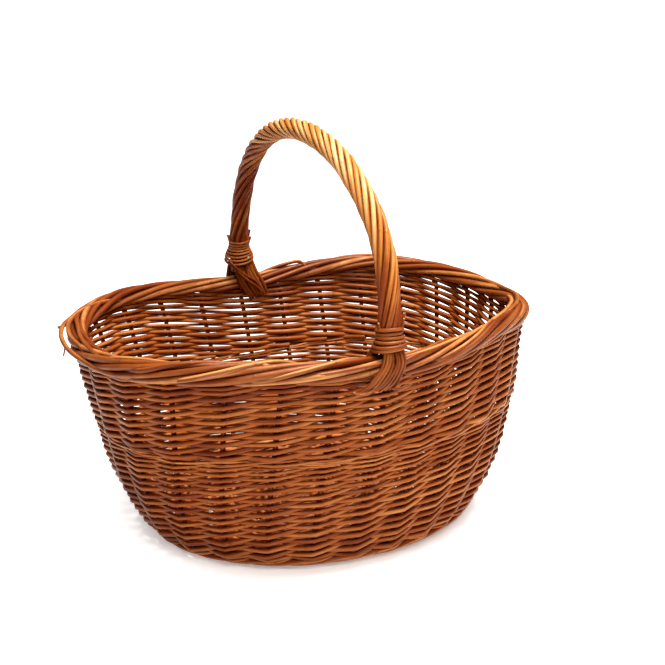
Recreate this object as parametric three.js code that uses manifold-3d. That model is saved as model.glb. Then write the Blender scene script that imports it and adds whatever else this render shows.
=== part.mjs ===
// Oval willow basket with a fixed roped cross handle.
// Millimetres, +Z up, +X along the basket, origin on the floor at the middle of the base.
// Every weaver follows one surface: the legs of the stakes, the corner at the foot and the wall.

import * as THREE from "three";
import { mergeVertices } from "three/addons/utils/BufferGeometryUtils.js";
import Module from "manifold-3d";

const wasm = await Module();
wasm.setup();

// Outline of the basket, on the axes of the stakes
const rimHalfLength = 215;
const leftReach = 5;
const rimHalfWidth = 169;
const rimSquareness = 2.35;
const baseHalfLength = 158;
const baseHalfWidth = 131;
const baseSquareness = 2.12;

// Height of the border's middle above the legs of the stakes, and how it dips and rises round the rim
const rimHeight = 193;
const frontRise = 3.3;
const endRise = 1.6;
const cornerRise = 4;

// Wall profile: a steady lean, with the rest of the flare taken up quickly just above the foot
const bellyShare = 0.45;
const bellyQuickness = 4.5;
const cornerRounding = 12;

// Rods
const stakeRadius = 2.4;
const legLength = 36;
const weaverThickness = 3.4;
const footRodThickness = 4.6;
const middleRodThickness = 3.4;
const rodClearance = 0.4;
const lightContact = 0.3;

// A rod that crosses another on a slant comes this much closer to it than one that crosses squarely
const slantFactor = 0.93;

// Stakes, counted in gaps between one bow end and the other
const leftGaps = 13;
const rightGaps = 14;

// The stakes lean: at the foot each stands this many degrees further back round the basket than at the border
const stakeLean = 8;

// Rows of weave
const rowPitch = 3.95;
const footWaleSetback = 3;
const middleWaleHeight = 112;

// Border
const borderStrands = 5;
const borderRodRadius = 3.6;
const borderRollRadius = 6.8;
const bendLead = 6;
const bendStart = 0.2;
const fillerStart = 0.4;
const borderRun = 4.6;

// Base
const stickRadius = 3;
const crossStickRadius = 5;
const longSticks = 3;
const crossSticks = 5;
const longStickSpacing = 6.6;
const crossStickSpacing = 13;
const stickEndGap = 1.2;
const coreEndMargin = 2;
const coreSideMargin = 1;
const coreTaper = 3;
const baseDome = 6;
const basePitch = 10.4;
const footCut = 0.5;

// Handle
const handleRise = 184;
const handleFullness = 0.79;
const handleLean = 8;
const handleSkew = 2;
const bowRadius = 5.5;
const bowNeckRadius = 2.4;
const bowNeckHeight = 12;
const bowTaper = 10;
const ropeStrands = 6;
const ropeThickness = 3.6;
const ropeTurns = 2.4;
const ropeEase = 0.6;
const ropeSteps = 24;
const ropeGapAngle = 0.05;
const bindingRodRadius = 1.5;
const bindingTurns = 5;
const bindingSteps = 7;
const frontBindingHeight = 16;
const backBindingHeight = 22;

// Tails tied over the border at the feet of the handle
const tailCount = 4;
const tailThickness = 3;
const tailTopWidth = 20;
const tailFootWidth = 34;
const tailDrop = 22;
const tailBowAllowance = 0.4;

const fullTurn = 2 * Math.PI;
const stakeCount = leftGaps + rightGaps;
// The front foot of the handle stands this many degrees round from the middle of the long side
const frontAngle = -Math.PI / 2 - THREE.MathUtils.degToRad(handleSkew);
const backAngle = Math.PI / 2;

// Radius of a superellipse at a polar angle
function ovalRadius(angle, halfLength, halfWidth, squareness) {
  const along = Math.abs(Math.cos(angle) / halfLength) ** squareness;
  const across = Math.abs(Math.sin(angle) / halfWidth) ** squareness;
  return (along + across) ** (-1 / squareness);
}

// The left half of the rim, at -X, reaches out a little further than the right
function rimRadius(angle) {
  const halfLength = rimHalfLength + (leftReach * (1 - Math.cos(angle))) / 2;
  return ovalRadius(angle, halfLength, rimHalfWidth, rimSquareness);
}

function footRadius(angle) {
  return ovalRadius(angle, baseHalfLength, baseHalfWidth, baseSquareness);
}

function rimLevel(angle) {
  const wave = endRise * Math.cos(angle) - frontRise * Math.sin(angle) - cornerRise * Math.cos(4 * angle);
  return rimHeight + wave;
}

function polar(angle, radius, height) {
  return new THREE.Vector3(radius * Math.cos(angle), radius * Math.sin(angle), height);
}

// Share of the flare reached at a share of the wall's height
function flare(share) {
  return (1 - bellyShare) * share + bellyShare * (1 - (1 - share) ** bellyQuickness);
}

// Middle of the wall: 0 at the foot, 1 at the underside of the border roll
function wallPoint(angle, share) {
  const foot = footRadius(angle);
  const radius = foot + (rimRadius(angle) - foot) * flare(share);
  return polar(angle, radius, (rimLevel(angle) - borderRollRadius) * share);
}

function legPoint(angle, inset) {
  return polar(angle, footRadius(angle) - inset, 0);
}

// Length of the wall from foot to border
function profileLength(angle) {
  const steps = 200;
  let length = 0;
  for (let i = 0; i < steps; i += 1) {
    length += wallPoint(angle, i / steps).distanceTo(wallPoint(angle, (i + 1) / steps));
  }
  return length;
}

// Rows are measured up the wall at the front of the basket, and stay level all round
const wallRun = profileLength(frontAngle);

function shareAt(run) {
  return run / wallRun;
}

// Point of the woven surface at a distance from the corner: negative on the leg, positive up the wall
function surfacePoint(angle, run) {
  if (run <= -cornerRounding) {
    return legPoint(angle, -run);
  }
  if (run >= cornerRounding) {
    return wallPoint(angle, shareAt(run));
  }
  const t = (run + cornerRounding) / (2 * cornerRounding);
  const start = legPoint(angle, cornerRounding);
  const corner = wallPoint(angle, 0);
  const end = wallPoint(angle, shareAt(cornerRounding));
  return start
    .multiplyScalar((1 - t) * (1 - t))
    .addScaledVector(corner, 2 * t * (1 - t))
    .addScaledVector(end, t * t);
}

// Frame of the surface: out of the basket, along the stake, and the spacing of the rows there
function surfaceFrame(angle, run) {
  const turn = 0.002;
  const step = 0.5;
  const point = surfacePoint(angle, run);
  const round = surfacePoint(angle + turn, run).sub(surfacePoint(angle - turn, run));
  const rise = surfacePoint(angle, run + step).sub(surfacePoint(angle, run - step));
  const stretch = rise.length() / (2 * step);
  const along = rise.normalize();
  const out = round.cross(along).normalize();
  return { point, out, along, stretch };
}

// Polar angle at a share of the rim's length between two angles
function angleAtShare(from, to, share) {
  const steps = 720;
  const lengths = [0];
  const angles = [from];
  for (let i = 1; i <= steps; i += 1) {
    const angle = from + ((to - from) * i) / steps;
    const last = polar(angles[i - 1], rimRadius(angles[i - 1]), 0);
    lengths.push(lengths[i - 1] + last.distanceTo(polar(angle, rimRadius(angle), 0)));
    angles.push(angle);
  }
  const target = share * lengths[steps];
  let i = 1;
  while (lengths[i] < target && i < steps) {
    i += 1;
  }
  const part = (target - lengths[i - 1]) / (lengths[i] - lengths[i - 1]);
  return angles[i - 1] + (angles[i] - angles[i - 1]) * part;
}

// Stake places: 0 is the front bow end, rightGaps is the back bow end
const stakeAngles = [];
for (let i = 0; i < rightGaps; i += 1) {
  stakeAngles.push(angleAtShare(frontAngle, backAngle, i / rightGaps));
}
for (let i = 0; i < leftGaps; i += 1) {
  stakeAngles.push(angleAtShare(backAngle, frontAngle + fullTurn, i / leftGaps));
}

function isBowPlace(place) {
  const index = ((place % stakeCount) + stakeCount) % stakeCount;
  return index === 0 || index === rightGaps;
}

// Polar angle at a place counted in stakes, also between stakes
function placeAngle(place) {
  const low = Math.floor(place);
  const index = ((low % stakeCount) + stakeCount) % stakeCount;
  const start = stakeAngles[index];
  const end = index + 1 < stakeCount ? stakeAngles[index + 1] : stakeAngles[0] + fullTurn;
  return start + (end - start) * (place - low);
}

// How far round the basket a stake has yet to lean at a run up the wall
function leanAt(run) {
  const share = THREE.MathUtils.clamp(shareAt(run), 0, 1);
  return THREE.MathUtils.degToRad(stakeLean) * (1 - share);
}

function stakePoint(angle, run) {
  return surfacePoint(angle - leanAt(run), run);
}

function stakeFrame(place, run) {
  return surfaceFrame(placeAngle(place) - leanAt(run), run);
}

function fanFaces(sides) {
  const faces = [];
  for (let k = 1; k < sides - 1; k += 1) {
    faces.push([0, k, k + 1]);
  }
  return faces;
}

// A closed solid through rings of points, with flat ends or joined end to end
function loftSolid(rings, closed = false, capFaces = null) {
  const sides = rings[0].length;
  const positions = [];
  const faces = [];
  for (const ring of rings) {
    for (const point of ring) {
      positions.push(point.x, point.y, point.z);
    }
  }
  const spans = closed ? rings.length : rings.length - 1;
  for (let i = 0; i < spans; i += 1) {
    const here = i * sides;
    const next = ((i + 1) % rings.length) * sides;
    for (let k = 0; k < sides; k += 1) {
      const l = (k + 1) % sides;
      faces.push(here + k, next + k, next + l);
      faces.push(here + k, next + l, here + l);
    }
  }
  if (!closed) {
    const last = (rings.length - 1) * sides;
    const caps = capFaces ?? fanFaces(sides);
    for (const [a, b, c] of caps) {
      faces.push(a, b, c);
      faces.push(last + a, last + c, last + b);
    }
  }
  return outwardSolid(positions, faces);
}

// Turns the faces round where they enclose a negative volume
function outwardSolid(positions, faces) {
  const corner = (i) => new THREE.Vector3(positions[3 * i], positions[3 * i + 1], positions[3 * i + 2]);
  let volume = 0;
  for (let i = 0; i < faces.length; i += 3) {
    const [a, b, c] = [corner(faces[i]), corner(faces[i + 1]), corner(faces[i + 2])];
    volume += a.dot(b.cross(c));
  }
  const index = volume > 0 ? faces : faces.toReversed();
  const geometry = new THREE.BufferGeometry();
  geometry.setAttribute("position", new THREE.Float32BufferAttribute(positions, 3));
  geometry.setIndex(index);
  return geometry;
}

// Ring of points round a centre, with half sizes along two directions
function sectionRing(centre, across, along, halfAcross, halfAlong, sides) {
  const ring = [];
  for (let k = 0; k < sides; k += 1) {
    const angle = (fullTurn * k) / sides;
    ring.push(
      centre
        .clone()
        .addScaledVector(across, halfAcross * Math.cos(angle))
        .addScaledVector(along, halfAlong * Math.sin(angle)),
    );
  }
  return ring;
}

// Round rod through points, its rings carried along without twist
function rodSolid(points, radii, sides) {
  const rings = [];
  let across = null;
  for (let i = 0; i < points.length; i += 1) {
    const before = points[Math.max(i - 1, 0)];
    const after = points[Math.min(i + 1, points.length - 1)];
    const tangent = after.clone().sub(before).normalize();
    if (across === null) {
      across = Math.abs(tangent.z) > 0.9 ? new THREE.Vector3(1, 0, 0) : new THREE.Vector3(0, 0, 1);
    }
    across = across.clone().addScaledVector(tangent, -across.dot(tangent)).normalize();
    const along = tangent.clone().cross(across);
    const radius = Array.isArray(radii) ? radii[i] : radii;
    rings.push(sectionRing(points[i], across, along, radius, radius, sides));
  }
  return loftSolid(rings);
}

function toManifold(geometry) {
  const plain = geometry.clone();
  plain.deleteAttribute("normal");
  plain.deleteAttribute("uv");
  const merged = mergeVertices(plain, 1e-4);
  return new wasm.Manifold(
    new wasm.Mesh({
      numProp: 3,
      vertProperties: new Float32Array(merged.getAttribute("position").array),
      triVerts: new Uint32Array(merged.getIndex().array),
    }),
  );
}

function fromManifold(solid) {
  const mesh = solid.getMesh();
  const geometry = new THREE.BufferGeometry();
  geometry.setAttribute("position", new THREE.BufferAttribute(new Float32Array(mesh.vertProperties), 3));
  geometry.setIndex(new THREE.BufferAttribute(new Uint32Array(mesh.triVerts), 1));
  return geometry;
}

function willow(name, color, roughness) {
  return new THREE.MeshStandardMaterial({ name, color, roughness, metalness: 0 });
}

const basket = new THREE.Group();

function addPiece(name, geometry, color, roughness = 0.45) {
  geometry.computeVertexNormals();
  const mesh = new THREE.Mesh(geometry, willow(name, color, roughness));
  mesh.name = name;
  basket.add(mesh);
  return mesh;
}

const sidingColor = 0x9c5a2c;
const borderColor = 0xcf7c3a;
const ropeColor = 0xd28a48;
const bindingColor = 0xa9602f;
const baseColor = 0x94552c;

// Distance from the middle of the wall to the middle of a rod that passes a stake
function rodOffset(thickness) {
  return (stakeRadius + rodClearance) / slantFactor + thickness / 2;
}

// One long rod woven in front of a stake and behind the next, climbing a row each time round
function randedRod(startRun, rows, pitch, startSide) {
  const rings = [];
  const offset = rodOffset(weaverThickness);
  const count = Math.round(rows * stakeCount);
  for (let i = 0; i <= count; i += 1) {
    const run = startRun + (pitch * i) / stakeCount;
    const frame = stakeFrame(i, run);
    const side = (i % 2 === 0 ? 1 : -1) * startSide;
    const centre = frame.point.addScaledVector(frame.out, side * offset);
    const halfHeight = (pitch * frame.stretch - rodClearance) / 2;
    rings.push(sectionRing(centre, frame.out, frame.along, weaverThickness / 2, halfHeight, 4));
  }
  return loftSolid(rings);
}

// One of the three rods of a wale: in front of two stakes, behind the third, dropping to start again
function waleRod(middleRun, thickness, strand, sides) {
  const rings = [];
  const offset = rodOffset(thickness);
  const step = thickness + rodClearance;
  for (let i = 0; i < stakeCount; i += 1) {
    const phase = (i + strand) % 3;
    const shift = [-step, step, 0][phase];
    const side = phase === 2 ? -1 : 1;
    const frame = stakeFrame(i, middleRun + shift);
    const centre = frame.point.addScaledVector(frame.out, side * offset);
    rings.push(sectionRing(centre, frame.out, frame.along, thickness / 2, thickness / 2, sides));
  }
  return loftSolid(rings, true);
}

// Runs of the bands up the profile
const footWaleHalf = 1.5 * footRodThickness + rodClearance;
const footWaleRun = -footWaleSetback;
const edgeStart = -legLength + rowPitch / 2;
const edgeEnd = footWaleRun - footWaleHalf - rodClearance - rowPitch / 2;
const lowerStart = footWaleRun + footWaleHalf + rodClearance + rowPitch / 2;
const middleWaleHalf = 1.5 * middleRodThickness + rodClearance;
const middleWaleRun = middleWaleHeight;
const lowerEnd = middleWaleRun - middleWaleHalf - rodClearance - rowPitch / 2;
const upperStart = middleWaleRun + middleWaleHalf + rodClearance + rowPitch / 2;
const upperEnd = wallRun - borderRodRadius - rodClearance - rowPitch / 2;

function sidingRod(start, end, startSide) {
  const rows = Math.floor((end - start) / rowPitch);
  const pitch = (end - start) / rows;
  return randedRod(start, rows, pitch, startSide);
}

addPiece("lower_siding", sidingRod(lowerStart, lowerEnd, 1), sidingColor, 0.5);
addPiece("upper_siding", sidingRod(upperStart, upperEnd, -1), sidingColor, 0.5);
addPiece("base_edge_weave", sidingRod(edgeStart, edgeEnd, 1), baseColor, 0.6);

for (let strand = 0; strand < 3; strand += 1) {
  const solid = waleRod(middleWaleRun, middleRodThickness, strand, 4);
  addPiece(`middle_wale_${strand + 1}`, solid, sidingColor, 0.5);
}

// The basket stands on the foot wale, worn flat underneath
const footRods = [0, 1, 2].map((strand) => waleRod(footWaleRun, footRodThickness, strand, 5));
const lowest = Math.min(
  ...footRods.map((rod) => {
    rod.computeBoundingBox();
    return rod.boundingBox.min.z;
  }),
);
const floorLevel = lowest + footCut;
const floorSize = 2 * (rimHalfLength + leftReach + rimHalfWidth);
const floorBlock = new THREE.BoxGeometry(floorSize, floorSize, floorSize);
floorBlock.translate(0, 0, floorLevel - floorSize / 2);
footRods.forEach((rod, strand) => {
  const worn = toManifold(rod).subtract(toManifold(floorBlock));
  addPiece(`foot_wale_${strand + 1}`, fromManifold(worn), sidingColor, 0.5);
});

// Point of the border roll: place round the rim in stakes, and the phase round the roll from its underside
function rollPoint(place, gapsFromStart) {
  const angle = placeAngle(place);
  const turn = 0.002;
  const ahead = polar(angle + turn, rimRadius(angle + turn), 0);
  const behind = polar(angle - turn, rimRadius(angle - turn), 0);
  const forward = ahead.sub(behind).normalize();
  const out = new THREE.Vector3(forward.y, -forward.x, 0);
  const phase = -Math.PI / 2 + (fullTurn * gapsFromStart) / borderStrands;
  let radius = borderRollRadius;
  if (Number.isInteger(place) && isBowPlace(place)) {
    // The rods part to let the neck of the bow through
    const room = (bowNeckRadius + borderRodRadius + rodClearance) / slantFactor;
    radius = Math.max(radius, room / Math.abs(Math.cos(phase)));
  }
  const centre = polar(angle, rimRadius(angle), rimLevel(angle));
  return centre.addScaledVector(out, radius * Math.cos(phase)).add(
    new THREE.Vector3(0, 0, radius * Math.sin(phase)),
  );
}

// Border part of a rod that starts at a stake place and rolls from outside, over the top, to the inside
function rollPath(place, from) {
  const path = [];
  for (let gaps = from; gaps < borderRun; gaps = Math.floor(gaps * 2 + 1) / 2) {
    path.push(rollPoint(place + gaps, gaps));
  }
  path.push(rollPoint(place + borderRun, borderRun));
  return path;
}

// Stations up the wall, closer together at the foot, where the wall curves most
function uprightRuns(low, high) {
  const steps = 6;
  const runs = [];
  for (let i = 0; i <= steps; i += 1) {
    runs.push(low + (high - low) * (i / steps) ** 1.6);
  }
  return runs;
}

// A stake: its leg in the base, its upright in the wall and its top rolled down as a border rod
function stakeSolid(place) {
  const angle = stakeAngles[place];
  const runs = [-legLength, -cornerRounding, 0, ...uprightRuns(cornerRounding, wallRun - bendLead)];
  const path = runs.map((run) => stakePoint(angle, run));
  const radii = runs.map(() => stakeRadius);
  for (const point of rollPath(place, bendStart)) {
    path.push(point);
    radii.push(borderRodRadius);
  }
  return rodSolid(path, radii, 5);
}

let stakeNumber = 0;
for (let place = 0; place < stakeCount; place += 1) {
  if (!isBowPlace(place)) {
    stakeNumber += 1;
    addPiece(`stake_${String(stakeNumber).padStart(2, "0")}`, stakeSolid(place), borderColor);
  }
}
addPiece("border_filler_front", rodSolid(rollPath(0, fillerStart), borderRodRadius, 5), borderColor);
addPiece("border_filler_back", rodSolid(rollPath(rightGaps, fillerStart), borderRodRadius, 5), borderColor);

// Arch of the handle, from the middle of the border at the front to the middle of the border at the back
function archPoint(turn) {
  const cosine = Math.cos(turn);
  const sine = Math.max(Math.sin(turn), 0);
  const frontLevel = rimLevel(frontAngle);
  const backLevel = rimLevel(backAngle);
  const level = (frontLevel * (1 + cosine) + backLevel * (1 - cosine)) / 2;
  const frontOffset = rimRadius(frontAngle) * Math.cos(frontAngle);
  return new THREE.Vector3(
    (frontOffset * (1 + cosine)) / 2 - handleLean * sine * sine,
    -rimHalfWidth * cosine,
    level + handleRise * sine ** handleFullness,
  );
}

const archSamples = [];
const archSampleCount = 600;
for (let i = 0; i <= archSampleCount; i += 1) {
  archSamples.push(archPoint((Math.PI * i) / archSampleCount));
}
const archCurve = new THREE.CurvePath();
for (let i = 0; i < archSampleCount; i += 1) {
  archCurve.add(new THREE.LineCurve3(archSamples[i], archSamples[i + 1]));
}
const archLength = archCurve.getLength();

// Frame of the arch at a length along it: the tangent, one direction along the basket, one out of the arch
function archFrame(length) {
  const reach = 2;
  const at = (value) => archCurve.getPoint(THREE.MathUtils.clamp(value / archLength, 0, 1));
  const point = at(length);
  const tangent = at(length + reach).sub(at(length - reach)).normalize();
  const side = new THREE.Vector3(1, 0, 0);
  side.addScaledVector(tangent, -side.dot(tangent)).normalize();
  const out = side.clone().cross(tangent);
  return { point, tangent, side, out };
}

function roundArch(frame, radius, turn) {
  return frame.point
    .clone()
    .addScaledVector(frame.side, radius * Math.cos(turn))
    .addScaledVector(frame.out, radius * Math.sin(turn));
}

// Roping stands on the full thickness of the bow, so it starts above the taper
const ropeStart = bowNeckHeight + bowTaper;
const ropeStations = [];
for (let i = 0; i <= ropeSteps; i += 1) {
  ropeStations.push(archFrame(ropeStart + ((archLength - 2 * ropeStart) * i) / ropeSteps));
}
const ropeStepTurn = (fullTurn * ropeTurns * (1 + ropeEase)) / ropeSteps;
const ropeInner = (bowRadius + lightContact) / Math.cos(ropeStepTurn / 2);
const ropeOuter = ropeInner + ropeThickness;

// The bow: both ends run down the siding in stake places, neck through the border, arch above
function bowSolid() {
  const path = [];
  const radii = [];
  const legRuns = uprightRuns(cornerRounding, wallRun - bendLead);
  const add = (point, radius) => {
    path.push(point);
    radii.push(radius);
  };
  legRuns.forEach((run) => add(stakePoint(frontAngle, run), stakeRadius));
  add(archFrame(0).point, bowNeckRadius);
  add(archFrame(bowNeckHeight).point, bowNeckRadius);
  ropeStations.forEach((frame) => add(frame.point, bowRadius));
  add(archFrame(archLength - bowNeckHeight).point, bowNeckRadius);
  add(archFrame(archLength).point, bowNeckRadius);
  legRuns.toReversed().forEach((run) => add(stakePoint(backAngle, run), stakeRadius));
  return rodSolid(path, radii, 6);
}

addPiece("handle_bow", bowSolid(), bindingColor);

// One strand of the roping; the lay opens towards the feet
function ropeStrand(strand) {
  const half = fullTurn / ropeStrands / 2 - ropeGapAngle;
  const middle = (ropeInner + ropeOuter) / 2;
  const rings = ropeStations.map((frame, i) => {
    const share = i / ropeSteps;
    const eased = share - (ropeEase * Math.sin(fullTurn * share)) / fullTurn;
    const turn = fullTurn * (strand / ropeStrands - ropeTurns * eased);
    // In this order the faces are split along the lay of the rope, which keeps the twisted strand convex
    return [
      roundArch(frame, ropeInner, turn),
      roundArch(frame, middle, turn - half),
      roundArch(frame, ropeOuter, turn),
      roundArch(frame, middle, turn + half),
    ];
  });
  return loftSolid(rings);
}

for (let strand = 0; strand < ropeStrands; strand += 1) {
  addPiece(`handle_rope_${strand + 1}`, ropeStrand(strand), ropeColor, 0.4);
}

// Thin rod bound round the foot of the handle
const bindingRadius = (ropeOuter + lightContact + bindingRodRadius) / Math.cos(Math.PI / bindingSteps);
const bindingPitch = 2 * bindingRodRadius + rodClearance;

function bindingSolid(fromFront) {
  const rings = [];
  const height = fromFront ? frontBindingHeight : backBindingHeight;
  for (let i = 0; i <= bindingTurns * bindingSteps; i += 1) {
    const climb = height + (bindingPitch * i) / bindingSteps;
    const frame = archFrame(fromFront ? climb : archLength - climb);
    const turn = (fullTurn * i) / bindingSteps;
    const centre = roundArch(frame, bindingRadius, turn);
    const radial = centre.clone().sub(frame.point).normalize();
    rings.push(sectionRing(centre, radial, frame.tangent, bindingRodRadius, bindingRodRadius, 4));
  }
  return loftSolid(rings);
}

addPiece("front_binding", bindingSolid(true), bindingColor, 0.5);
addPiece("back_binding", bindingSolid(false), bindingColor, 0.5);

// Tails laid side by side over the border, from the binding down to the top rows of the siding
function tailProfile(width) {
  const half = width / 2;
  const profile = [];
  for (let i = 0; i <= 2 * tailCount; i += 1) {
    const height = i % 2 === 1 ? tailThickness / 2 : 0;
    profile.push(new THREE.Vector2(half - (width * i) / (2 * tailCount), height));
  }
  profile.push(new THREE.Vector2(-half, -tailThickness / 2));
  profile.push(new THREE.Vector2(half, -tailThickness / 2));
  return profile;
}

function tailsSolid(angle, side) {
  const out = new THREE.Vector3(Math.cos(angle), Math.sin(angle), 0);
  const across = new THREE.Vector3(-Math.sin(angle), Math.cos(angle), 0);
  const rim = polar(angle, rimRadius(angle), rimLevel(angle));
  // Inside the basket the wall curves towards the flat backs of the tails
  const bow = side < 0 ? tailBowAllowance : 0;
  const overRoll = borderRollRadius + borderRodRadius + tailThickness / 2 + lightContact + bow;
  const overSiding = rodOffset(weaverThickness) + (weaverThickness + tailThickness) / 2 + lightContact + bow;
  const up = new THREE.Vector3(0, 0, 1);
  const bindingHeight = angle === frontAngle ? frontBindingHeight : backBindingHeight;
  const top = bindingHeight - bindingRodRadius - lightContact;
  const path = [];
  for (const height of [top, top / 2, 0, -borderRollRadius]) {
    path.push(rim.clone().addScaledVector(out, side * overRoll).addScaledVector(up, height));
  }
  const drop = tailDrop - borderRollRadius;
  for (const below of [drop / 2, drop]) {
    const frame = surfaceFrame(angle, wallRun - below);
    path.push(frame.point.addScaledVector(frame.out, side * overSiding));
  }
  const rings = path.map((point, i) => {
    const before = path[Math.max(i - 1, 0)];
    const after = path[Math.min(i + 1, path.length - 1)];
    const down = after.clone().sub(before).normalize();
    const face = down.clone().cross(across).normalize();
    if (face.dot(out) * side < 0) {
      face.negate();
    }
    const share = i / (path.length - 1);
    const profile = tailProfile(tailTopWidth + (tailFootWidth - tailTopWidth) * share);
    return profile.map((corner) =>
      point.clone().addScaledVector(across, corner.x).addScaledVector(face, corner.y),
    );
  });
  const capFaces = THREE.ShapeUtils.triangulateShape(tailProfile(tailTopWidth), []);
  return loftSolid(rings, false, capFaces);
}

addPiece("front_outer_tails", tailsSolid(frontAngle, 1), bindingColor);
addPiece("front_inner_tails", tailsSolid(frontAngle, -1), bindingColor);
addPiece("back_outer_tails", tailsSolid(backAngle, 1), bindingColor);
addPiece("back_inner_tails", tailsSolid(backAngle, -1), bindingColor);

// Base: sticks spread like rays from the split core, to just inside the legs of the stakes
const rayCount = 2 * (longSticks + crossSticks);
const coreHalfLength = (crossStickSpacing * (crossSticks - 1)) / 2 + crossStickRadius + coreEndMargin;
const coreHalfWidth = (longStickSpacing * (longSticks - 1)) / 2 + stickRadius + coreSideMargin;

function innerRadius(angle) {
  return footRadius(angle) - legLength - stickEndGap;
}

function domed(x, y) {
  const share = Math.hypot(x, y) / innerRadius(Math.atan2(y, x));
  return new THREE.Vector3(x, y, baseDome * (1 - share * share));
}

// Where each ray leaves the core, in order round the base from the middle stick at +X
const rays = [];
for (let ray = 0; ray < rayCount; ray += 1) {
  const endAngle = (fullTurn * ray) / rayCount;
  const halfLong = (longSticks - 1) / 2;
  const halfCross = (crossSticks - 1) / 2;
  const half = rayCount / 2;
  const step = ray > half + halfLong + crossSticks ? ray - rayCount : ray;
  let start;
  if (Math.abs(step) <= halfLong) {
    start = [coreHalfLength, step * longStickSpacing];
  } else if (step < half - halfLong) {
    start = [(halfCross - (step - halfLong - 1)) * crossStickSpacing, coreHalfWidth + coreTaper];
  } else if (step <= half + halfLong) {
    start = [-coreHalfLength, (half - step) * longStickSpacing];
  } else {
    const order = step - half - halfLong - 1;
    start = [(order - halfCross) * crossStickSpacing, -coreHalfWidth - coreTaper];
  }
  const endRadius = innerRadius(endAngle);
  rays.push({ start, end: [endRadius * Math.cos(endAngle), endRadius * Math.sin(endAngle)] });
}

function rayPoint(ray, share) {
  const { start, end } = rays[ray % rayCount];
  return domed(start[0] + (end[0] - start[0]) * share, start[1] + (end[1] - start[1]) * share);
}

const rayShares = [1, 0.5, 0];

function longStickPath(order) {
  const halfLong = (longSticks - 1) / 2;
  const y = (order - halfLong) * longStickSpacing;
  const right = (order - halfLong + rayCount) % rayCount;
  const left = rayCount / 2 - (order - halfLong);
  const reach = coreHalfLength - coreTaper;
  const core = [reach, 0, -reach].map((x) => domed(x, y));
  return [
    ...rayShares.map((share) => rayPoint(right, share)),
    ...core,
    ...rayShares.toReversed().map((share) => rayPoint(left, share)),
  ];
}

function crossStickPath(order) {
  const halfCross = (crossSticks - 1) / 2;
  const halfLong = (longSticks - 1) / 2;
  const x = (halfCross - order) * crossStickSpacing;
  const top = halfLong + 1 + order;
  const bottom = rayCount - halfLong - 1 - order;
  const core = [coreHalfWidth, 0, -coreHalfWidth].map((y) => domed(x, y));
  return [
    ...rayShares.map((share) => rayPoint(top, share)),
    ...core,
    ...rayShares.toReversed().map((share) => rayPoint(bottom, share)),
  ];
}

for (let order = 0; order < longSticks; order += 1) {
  addPiece(`long_base_stick_${order + 1}`, rodSolid(longStickPath(order), stickRadius, 6), baseColor, 0.6);
}

for (let order = 0; order < crossSticks; order += 1) {
  const thin = rayShares.map(() => stickRadius);
  const thick = [crossStickRadius, crossStickRadius, crossStickRadius];
  const path = crossStickPath(order);
  const stick = toManifold(rodSolid(path, [...thin, ...thick, ...thin], 6));
  // The stick is split, and the long sticks pass side by side through the slit
  const slitWidth = longStickSpacing * (longSticks - 1) + 2 * (stickRadius + rodClearance);
  const slitHeight = 2 * (stickRadius + rodClearance);
  const slit = new THREE.BoxGeometry(4 * crossStickRadius, slitWidth, slitHeight);
  const middle = path[(path.length - 1) / 2];
  slit.translate(middle.x, middle.y, middle.z);
  addPiece(`cross_base_stick_${order + 1}`, fromManifold(stick.subtract(toManifold(slit))), baseColor, 0.6);
}

// The weave starts this share of a row clear of the core, where the sticks have spread
const coreRows = 1.2;

// Two rods chase each other round the base, each over one stick and under the next
function chasingRod(which) {
  const lengths = rays.map(({ start, end }) => Math.hypot(end[0] - start[0], end[1] - start[1]));
  const shortest = Math.min(...lengths);
  const rows = Math.floor((shortest - stickRadius) / basePitch);
  const offset = (stickRadius + rodClearance) / slantFactor + weaverThickness / 2;
  const rings = [];
  const rounds = (rows - 1) / 2;
  for (let i = 0; i <= rounds * rayCount; i += 1) {
    const ray = i + (which * rayCount) / 2;
    const row = 0.5 + (2 * i) / rayCount;
    const share = (row + coreRows) / (rows + coreRows);
    const point = rayPoint(ray, share);
    const outward = rayPoint(ray, share + 0.01).sub(point);
    const rowSpan = outward.length() / 0.01 / (rows + coreRows);
    const along = outward.normalize();
    const side = ray % 2 === which % 2 ? 1 : -1;
    const across = new THREE.Vector3(0, 0, 1).addScaledVector(along, -along.z).normalize();
    point.addScaledVector(across, side * offset);
    const halfWidth = (rowSpan * slantFactor - rodClearance) / 2;
    rings.push(sectionRing(point, across, along, weaverThickness / 2, halfWidth, 4));
  }
  return loftSolid(rings);
}

addPiece("base_weaver_1", chasingRod(0), baseColor, 0.6);
addPiece("base_weaver_2", chasingRod(1), baseColor, 0.6);

// Everything above is measured from the handle and the legs of the stakes, so the basket is moved to stand
// on the floor with its middle over the origin
const middle = new THREE.Box3().setFromObject(basket).getCenter(new THREE.Vector3());
basket.children.forEach((piece) => {
  piece.position.set(-middle.x, -middle.y, -floorLevel);
});

export default basket;
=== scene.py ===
from functools import partial
import bpy
import numpy as np
from mathutils import Matrix


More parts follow.
